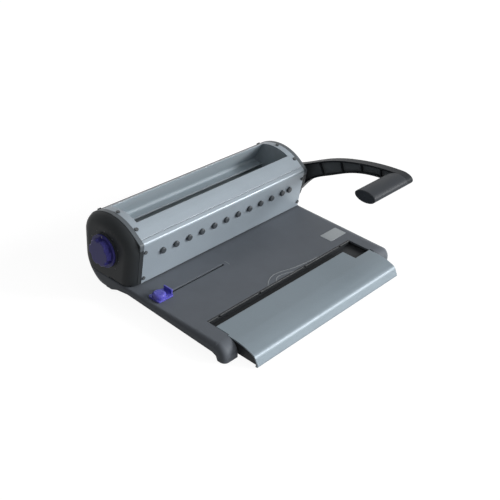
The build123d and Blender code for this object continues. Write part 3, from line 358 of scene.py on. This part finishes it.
EFFECTS = {"grain": moulded_grain, "edges": eased_edges, "flake": paint_flake,
           "lines": tool_lines}
built = {}


def place_effect(board, name, **values):
    """The named effect as a node of a material, with its own values."""
    if name not in built:
        built[name] = EFFECTS[name]()
    node = board.add("ShaderNodeGroup")
    node.node_tree = built[name]
    return board.feed(node, **values)


def new_material(name):
    material = bpy.data.materials.new(name)
    material.use_nodes = True
    board = Board(material.node_tree)
    shader = next(n for n in material.node_tree.nodes if n.type == "BSDF_PRINCIPLED")
    return material, board, shader


def finish_of(name, tone, texture, smooth, rough, bump=0.05, swing=0.06, rubbed=None,
              radius=None, metallic=0.0, specular=0.5, scale=None):
    """One finish: a textured colour on eased edges, with another tone where it is rubbed."""
    settings = bpy.context.scene.machine_finish
    material, board, shader = new_material(name)
    values = {"Smooth": smooth, "Rough": rough}
    if texture == "grain":
        values["Scale"] = settings.grain if scale is None else scale
    surface = place_effect(board, texture, **values).outputs
    edges = place_effect(board, "edges",
                         Radius=settings.edge_radius if radius is None else radius).outputs
    base = board.blend(surface["Shade"], (*[c * (1 - swing) for c in tone], 1.0),
                       (*[min(c * (1 + swing), 1.0) for c in tone], 1.0))
    if rubbed:
        base = board.blend(edges["Rubbed"], base, (*rubbed, 1.0))
    relief = board.add("ShaderNodeBump")
    board.feed(relief, Strength=bump, Distance=RELIEF_DEPTH, Height=surface["Height"],
               Normal=edges["Normal"])
    board.feed(shader, Base_Color=base, Roughness=surface["Roughness"],
               Normal=relief.outputs["Normal"], Metallic=metallic, Specular_IOR_Level=specular)
    return material


def coat(material, *nodes):
    """Gives CAD nodes their finish."""
    for name in nodes:
        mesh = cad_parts[name].data
        mesh.materials.clear()
        mesh.materials.append(material)


# ------------------------------------------------------------------ mesh helpers
def new_piece(name, form, material, body="base"):
    """Turns a bmesh into a piece that rides on a body."""
    mesh = bpy.data.meshes.new(name)
    form.normal_update()
    form.to_mesh(mesh)
    form.free()
    mesh.materials.append(material)
    piece = bpy.data.objects.new(name, mesh)
    bpy.context.scene.collection.objects.link(piece)
    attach(piece, body)
    return piece


def rounded_outline(width, depth, radius, steps=6):
    """Points of a rounded rectangle about the middle, counter-clockwise."""
    points = []
    for x, y, start in ((1, 1, 0), (-1, 1, 90), (-1, -1, 180), (1, -1, 270)):
        for i in range(steps + 1):
            turn = math.radians(start + 90 * i / steps)
            points.append((x * (width / 2 - radius) + radius * math.cos(turn),
                           y * (depth / 2 - radius) + radius * math.sin(turn)))
    return points


def raised(form, outline, place, height):
    """Adds a low boss with sloping sides to a bmesh; place turns its outline into space."""
    middle = Vector((sum(p[0] for p in outline), sum(p[1] for p in outline))) / len(outline)
    rings = []
    slope = BOSS_DRAFT * height
    for inset, z in ((0.0, -BOSS_ROOT), (0.0, height - slope), (slope, height)):
        ring = []
        for point in outline:
            towards = middle - Vector(point)
            moved = Vector(point) + towards.normalized() * inset
            ring.append(form.verts.new(place @ Vector((*moved, z))))
        rings.append(ring)
    for low, high in zip(rings, rings[1:]):
        for i in range(len(low)):
            j = (i + 1) % len(low)
            form.faces.new((low[i], low[j], high[j], high[i]))
    form.faces.new(rings[-1])
    form.faces.new(list(reversed(rings[0])))


def softened(points, steps=6):
    """A smooth line through the points."""
    line = []
    for i in range(len(points) - 1):
        a, b = points[max(i - 1, 0)], points[i]
        c, d = points[i + 1], points[min(i + 2, len(points) - 1)]
        for k in range(steps):
            t = k / steps
            line.append(b + ((c - a) * t + (a * 2 - b * 5 + c * 4 - d) * t * t
                             + (b * 3 - a - c * 3 + d) * t ** 3) / 2)
    return [*line, points[-1]]


def ridge(form, points, width, height, z):
    """Adds a low rounded line on the deck that follows points in plan."""
    turns = [math.pi * i / RIDGE_SIDES for i in range(RIDGE_SIDES + 1)]
    profile = [(math.cos(turn), math.sin(turn)) for turn in turns]
    rows = []
    for i, (x, y) in enumerate(points):
        ahead = points[min(i + 1, len(points) - 1)]
        back = points[max(i - 1, 0)]
        run = Vector((ahead[0] - back[0], ahead[1] - back[1])).normalized()
        side = Vector((run.y, -run.x))
        taper = min(i, len(points) - 1 - i, RIDGE_TAPER) / RIDGE_TAPER
        end = RIDGE_END + (1 - RIDGE_END) * math.sin(math.pi / 2 * taper)
        rows.append([form.verts.new((x + side.x * a * width / 2 * end,
                                     y + side.y * a * width / 2 * end,
                                     z - RIDGE_ROOT + (height + RIDGE_ROOT) * b * end))
                     for a, b in profile])
    for here, there in zip(rows, rows[1:]):
        for i in range(len(profile) - 1):
            form.faces.new((here[i], there[i], there[i + 1], here[i + 1]))
    form.faces.new(rows[0])
    form.faces.new(list(reversed(rows[-1])))


# ------------------------------------------------------------------ finishes of the frame
class MACHINE_OT_coat_casing(bpy.types.Operator):
    """Moulded base, end caps, rear casing, trim rings and the parts that match them"""

    bl_idname = "machine.coat_casing"
    bl_label = "Coat the Casing"

    def execute(self, context):
        settings = context.scene.machine_finish
        coat(finish_of("Deck Moulding", settings.deck, "grain", smooth=0.42, rough=0.56,
                       bump=0.12, rubbed=(0.19, 0.21, 0.23), specular=0.13), "base_shell")
        coat(finish_of("Cap Moulding", settings.cap, "grain", smooth=0.40, rough=0.52,
                       bump=0.12, rubbed=(0.07, 0.075, 0.08), specular=0.13),
             "end_cap_left", "end_cap_right", "rear_casing", "knob_flange", "closer_ends",
             "closer_carrier")
        coat(finish_of("Trim Moulding", settings.trim, "grain", smooth=0.36, rough=0.46,
                       bump=0.06, rubbed=(0.17, 0.19, 0.21), specular=0.25),
             "trim_ring_left", "trim_ring_right")
        coat(finish_of("Foot Rubber", settings.rubber, "grain", smooth=0.65, rough=0.85,
                       bump=0.2, specular=0.3, scale=RUBBER_GRAIN), "rubber_feet")
        coat(finish_of("Pan Coating", settings.coating, "grain", smooth=0.38, rough=0.55,
                       bump=0.25, rubbed=(0.10, 0.10, 0.10), specular=0.2, scale=PAN_GRAIN),
             "bottom_pan", "closer_bed")
        coat(finish_of("Chip Tray Moulding", settings.cap, "grain", smooth=0.45, rough=0.6,
                       bump=0.1, rubbed=(0.07, 0.07, 0.075), specular=0.15), "chip_tray")
        return {"FINISHED"}


class MACHINE_OT_coat_panels(bpy.types.Operator):
    """Silver paint of the hood's panels and tray, and of the closer plate"""

    bl_idname = "machine.coat_panels"
    bl_label = "Coat the Silver Panels"

    def execute(self, context):
        settings = context.scene.machine_finish
        coat(finish_of("Panel Paint", settings.panel, "flake", smooth=0.29, rough=0.36,
                       swing=0.05, rubbed=(0.62, 0.66, 0.70), metallic=0.15, specular=0.4),
             "front_panel", "top_cover")
        coat(finish_of("Tray Paint", settings.tray, "flake", smooth=0.46, rough=0.56,
                       swing=0.05, rubbed=(0.50, 0.54, 0.57), metallic=0.05, specular=0.3),
             "wire_tray")
        coat(finish_of("Zinc Sheet", settings.zinc, "lines", smooth=0.35, rough=0.5, bump=0.08,
                       swing=0.08, rubbed=(0.46, 0.49, 0.51), metallic=0.3, specular=0.3),
             "trough_ends", "inner_shield")
        coat(finish_of("Closer Paint", settings.closer, "flake", smooth=0.37, rough=0.44,
                       swing=0.05, rubbed=(0.5, 0.54, 0.58), metallic=0.15, specular=0.4),
             "closer_plate")
        return {"FINISHED"}


class MACHINE_OT_coat_mechanism(bpy.types.Operator):
    """Machined steel, coated steel and brass of the punch unit, shaft, cams and closer"""

    bl_idname = "machine.coat_mechanism"
    bl_label = "Coat the Mechanism"

    def execute(self, context):
        settings = context.scene.machine_finish
        coat(finish_of("Machined Steel", settings.steel, "lines", smooth=0.29, rough=0.44,
                       bump=0.15, swing=0.12, rubbed=(0.75, 0.75, 0.76), metallic=1.0),
             "side_frame_left", "side_frame_right", "tie_bars", "die_block", "punch_guide",
             "punch_bar", "punch_pins", "punch_yokes", "lever_shaft", "press_cams",
             "closing_cams", "stop_pin", "knob_shaft", "limit_cam", "guide_clamp",
             "closer_crossbar", "push_rods", "rod_followers", "pan_screws")
        coat(finish_of("Coated Steel", settings.coating, "lines", smooth=0.35, rough=0.55,
                       bump=0.1, swing=0.10, rubbed=(0.10, 0.10, 0.11), metallic=0.1,
                       specular=0.2),
             "fixed_jaw", "hub_screw")
        coat(finish_of("Plate Coating", settings.plate, "lines", smooth=0.4, rough=0.6,
                       bump=0.1, swing=0.12, rubbed=(0.20, 0.21, 0.22), specular=0.2),
             "lever_plate")
        coat(finish_of("Screw Coating", settings.screw, "lines", smooth=0.4, rough=0.6,
                       bump=0.1, swing=0.12, rubbed=(0.10, 0.10, 0.11), specular=0.2),
             "panel_screws")
        coat(finish_of("Bush Brass", settings.brass, "lines", smooth=0.29, rough=0.45,
                       bump=0.15, swing=0.12, rubbed=(0.8, 0.64, 0.34), metallic=1.0),
             "shaft_bushes")
        return {"FINISHED"}


class MACHINE_OT_coat_handles(bpy.types.Operator):
    """Lever and grip, size knob, edge guide and pull pins"""

    bl_idname = "machine.coat_handles"
    bl_label = "Coat the Handles"

    def execute(self, context):
        settings = context.scene.machine_finish
        coat(finish_of("Lever Moulding", settings.lever, "grain", smooth=0.40, rough=0.50,
                       bump=0.08, rubbed=(0.045, 0.048, 0.053), specular=0.12), "lever_arm")
        coat(finish_of("Grip Moulding", settings.grip, "grain", smooth=0.50, rough=0.56,
                       bump=0.02, rubbed=(0.05, 0.053, 0.058), specular=0.40), "grip")
        coat(finish_of("Knob Moulding", settings.knob, "grain", smooth=0.30, rough=0.38,
                       swing=0.10, rubbed=(0.14, 0.13, 0.42), specular=0.15), "size_knob")
        coat(finish_of("Guide Moulding", settings.guide, "grain", smooth=0.29, rough=0.35,
                       bump=0.04, swing=0.08, rubbed=(0.24, 0.22, 0.72), specular=0.35),
             "edge_guide")
        coat(finish_of("Pin Moulding", settings.pin, "grain", smooth=0.34, rough=0.46,
                       bump=0.08, swing=0.10, rubbed=(0.14, 0.15, 0.16)),
             *[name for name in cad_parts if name.startswith("pull_pin")])
        return {"FINISHED"}


# ------------------------------------------------------------------ fittings
class MACHINE_OT_label(bpy.types.Operator):
    """Bare label on the right of the deck"""

    bl_idname = "machine.label"
    bl_label = "Label"

    def execute(self, context):
        sizes = context.scene.machine_fittings
        material = finish_of("Label Film", context.scene.machine_finish.label, "flake",
                             smooth=0.3, rough=0.5, swing=0.10, rubbed=(0.5, 0.53, 0.55),
                             radius=0.0003, metallic=0.3)
        form = bmesh.new()
        place = Matrix.Translation((*sizes.label_place, DECK_TOP))
        raised(form, rounded_outline(sizes.label_width, sizes.label_depth, LABEL_CORNER), place,
               sizes.label_height)
        new_piece("deck_label", form, material)
        return {"FINISHED"}


class MACHINE_OT_deck_marks(bpy.types.Operator):
    """Moulded end mark of the guide slot and finger rim beside the closing jaws; the rim's lighter
    colour is a painted highlight
    """

    bl_idname = "machine.deck_marks"
    bl_label = "Deck Marks"

    def execute(self, context):
        sizes = context.scene.machine_fittings
        material = finish_of("Mark Moulding And Painted Highlight", context.scene.machine_finish.mark, "grain",
                             smooth=0.4, rough=0.5, bump=0.1, radius=0.0002)
        steps = 8
        line = [(sizes.mark_x, sizes.mark_from - sizes.mark_length * i / steps)
                for i in range(steps + 1)]
        form = bmesh.new()
        ridge(form, line, sizes.mark_width, sizes.mark_height, DECK_TOP)
        new_piece("slot_end_mark", form, material)
        # finger rim: low ridges whose lighter colour is a painted highlight along the scoop's edge
        # and the recess chamfer
        form = bmesh.new()
        for corners in (RIM_OUTER, RIM_INNER):
            line = [Vector((x + sizes.rim_shift, y)) * MM for x, y in corners]
            ridge(form, softened(line), sizes.mark_width, sizes.rim_height, DECK_TOP)
        new_piece("finger_rim_painted_highlight", form, material)
        return {"FINISHED"}


class MACHINE_OT_dial(bpy.types.Operator):
    """Marks of the wire sizes on the cap around the knob and the pointer on its skirt"""

    bl_idname = "machine.dial"
    bl_label = "Dial"

    def execute(self, context):
        sizes = context.scene.machine_fittings
        settings = context.scene.machine_finish
        outward = Matrix.Rotation(math.radians(-90), 4, "Y")
        cap = Vector((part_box("end_cap_left")[0].x, KNOB_MIDDLE.y, KNOB_MIDDLE.z))
        form = bmesh.new()
        for i in range(sizes.dial_marks):
            turn = sizes.dial_sweep * (i / (sizes.dial_marks - 1) - 0.5)
            mark = sizes.short_mark if i % 2 else sizes.long_mark
            place = (Matrix.Translation(cap) @ outward @ Matrix.Rotation(turn, 4, "Z")
                     @ Matrix.Translation((sizes.dial_radius + mark / 2, 0.0, 0.0)))
            raised(form, rounded_outline(mark, sizes.ink_width, INK_CORNER, 2), place,
                   sizes.ink_height)
        ink = finish_of("Dial Ink", settings.ink, "grain", smooth=0.4, rough=0.5, bump=0.02,
                        radius=0.0001, scale=INK_GRAIN)
        new_piece("dial_marks", form, ink)

        skirt = Vector((KNOB_LOW.x + sizes.skirt_drop, KNOB_MIDDLE.y, KNOB_MIDDLE.z))
        form = bmesh.new()
        raised(form, rounded_outline(sizes.pointer_length, sizes.pointer_width,
                                     POINTER_CORNER, 4),
               Matrix.Translation(skirt) @ outward
               @ Matrix.Translation((sizes.pointer_radius, 0.0, 0.0)), sizes.pointer_height)
        light = finish_of("Pointer Ink", settings.pointer, "grain", smooth=0.35, rough=0.45,
                          bump=0.02, radius=0.0002, scale=INK_GRAIN)
        new_piece("knob_pointer", form, light, body="size_dial")
        return {"FINISHED"}


class MACHINE_OT_stage(bpy.types.Operator):
    """Floor, soft light, sky and camera"""

    bl_idname = "machine.stage"
    bl_label = "Stage"

    def execute(self, context):
        stage = context.scene.machine_stage
        scene = context.scene
        scene.view_settings.view_transform = "Standard"

        world = bpy.data.worlds.new("Studio")
        world.use_nodes = True
        board = Board(world.node_tree)
        background = next(n for n in world.node_tree.nodes if n.type == "BACKGROUND")
        strongest, likeness = board.dot(board.add("ShaderNodeTexCoord").outputs["Generated"])
        strongest.default_value = Vector(stage.sky_from).normalized()
        soft = board.spread(likeness, -1.0, 1.0, stage.sky - stage.sky_swing,
                            stage.sky + stage.sky_swing)
        board.feed(background, Strength=board.spread(board.seen(), 0.0, 1.0, soft, 1.0),
                   Color=(1.0, 1.0, 1.0, 1.0))
        scene.world = world

        form = bmesh.new()
        bmesh.ops.create_grid(form, x_segments=8, y_segments=8, size=FLOOR_HALF)
        mesh = bpy.data.meshes.new("floor")
        form.to_mesh(mesh)
        form.free()
        floor = bpy.data.objects.new("floor", mesh)
        scene.collection.objects.link(floor)
        material, board, shader = new_material("Studio Floor")
        board.feed(shader, Base_Color=(stage.floor, stage.floor, stage.floor, 1.0),
                   Roughness=0.9, Specular_IOR_Level=0.0, Emission_Color=(1.0, 1.0, 1.0, 1.0),
                   Emission_Strength=board.maths("MULTIPLY", board.seen(), stage.glow))
        mesh.materials.append(material)

        for name, energy, spread, towards in (
                ("key", stage.key, stage.key_spread, stage.key_from),
                ("glint", stage.glint, stage.glint_spread, stage.glint_from)):
            lamp = bpy.data.lights.new(name, "SUN")
            lamp.energy = energy
            lamp.angle = spread
            light = bpy.data.objects.new(name, lamp)
            light.rotation_euler = Vector(towards).to_track_quat("Z", "Y").to_euler()
            light.visible_glossy = name == "glint"      # the key gives no reflections
            scene.collection.objects.link(light)

        turn, dip, roll = stage.camera_turn, stage.camera_dip, stage.camera_roll
        ahead = Vector((math.cos(dip) * math.sin(turn), math.cos(dip) * math.cos(turn),
                        -math.sin(dip)))
        right = ahead.cross(Vector((0, 0, 1))).normalized()
        above = right.cross(ahead)
        rolled = right * math.cos(roll) + above * math.sin(roll)
        upward = above * math.cos(roll) - right * math.sin(roll)
        lens = bpy.data.cameras.new("camera")
        lens.lens = stage.camera_lens
        lens.sensor_width = SENSOR_WIDTH
        lens.clip_end = VIEW_DEPTH
        camera = bpy.data.objects.new("camera", lens)
        camera.matrix_world = (Matrix.Translation(stage.camera_place)
                               @ Matrix((rolled, upward, -ahead)).transposed().to_4x4())
        scene.collection.objects.link(camera)
        scene.camera = camera
        return {"FINISHED"}


class MACHINE_PT_panel(bpy.types.Panel):
    """Lists the steps that dress the machine"""

    bl_idname = "MACHINE_PT_panel"
    bl_label = "Punch and Wire Closing Machine"
    bl_space_type = "VIEW_3D"
    bl_region_type = "UI"
    bl_category = "Machine"

    def draw(self, context):
        column = self.layout.column(align=True)
        for step in STEPS:
            column.operator(step.bl_idname)
        for group in (context.scene.machine_finish, context.scene.machine_fittings,
                      context.scene.machine_stage):
            box = self.layout.box()
            for name in group.__annotations__:
                box.prop(group, name)


GROUPS = (MachineFinish, MachineFittings, MachineStage)
STEPS = (MACHINE_OT_stage, MACHINE_OT_coat_casing, MACHINE_OT_coat_panels,
         MACHINE_OT_coat_mechanism, MACHINE_OT_coat_handles, MACHINE_OT_label,
         MACHINE_OT_deck_marks, MACHINE_OT_dial)


def register():
    for part in (*GROUPS, *STEPS, MACHINE_PT_panel):
        bpy.utils.register_class(part)
    bpy.types.Scene.machine_finish = PointerProperty(type=MachineFinish)
    bpy.types.Scene.machine_fittings = PointerProperty(type=MachineFittings)
    bpy.types.Scene.machine_stage = PointerProperty(type=MachineStage)


def unregister():
    del bpy.types.Scene.machine_stage
    del bpy.types.Scene.machine_fittings
    del bpy.types.Scene.machine_finish
    for part in reversed((*GROUPS, *STEPS, MACHINE_PT_panel)):
        bpy.utils.unregister_class(part)


def main():
    register()
    for step in STEPS:
        area, name = step.bl_idname.split(".")
        getattr(getattr(bpy.ops, area), name)()


if __name__ == "__main__":
    main()
